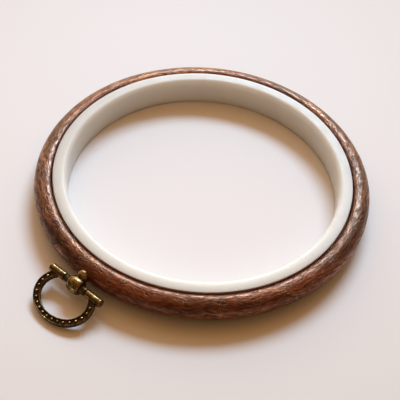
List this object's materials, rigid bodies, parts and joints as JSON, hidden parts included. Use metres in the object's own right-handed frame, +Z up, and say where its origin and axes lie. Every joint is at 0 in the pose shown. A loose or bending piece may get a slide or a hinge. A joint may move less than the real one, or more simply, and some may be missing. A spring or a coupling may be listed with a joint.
{
  "type": "embroidery hoop",
  "caption": "Round screwless embroidery hoop: a wood-grain outer ring stretched over a white inner ring, with a swinging brass ring to hang it up.",
  "frame": {"origin": "middle of the whole object's footprint, on the floor it lies on", "axes": "+Z up, out of the hoop's working face; +Y away from the hanger, along the hoop's diameter; +X along the hanger's bar"},
  "size_m": [0.1, 0.115, 0.009],
  "materials": {
    "wood_grain_vinyl": "satin, printed and embossed reddish brown wood grain",
    "white_plastic": "soft gloss",
    "antique_brass": "darkened casting, worn bright on the edges",
    "steel": "plain"
  },
  "bodies": {
    "outer_ring": {"outer_hoop": "wood_grain_vinyl", "hanger_post": "antique_brass", "hinge_pin": "steel", "anchor_washer": "steel", "anchor_screw": "steel"},
    "inner_ring": {"inner_hoop": "white_plastic"},
    "hanging_ring": {"hanger_ring": "antique_brass"}
  },
  "joints": [
    {"name": "ring_swing", "type": "hinge", "parent": "outer_ring", "child": "hanging_ring", "pos_m": [0, -0.04551, 0.0046], "axis": [-1, 0, 0], "range_deg": [-122, 145]},
    {"name": "inner_hoop_lift", "type": "slide", "parent": "outer_ring", "child": "inner_ring", "axis": [0, 0, 1], "range_m": [0, 0.012]}
  ]
}
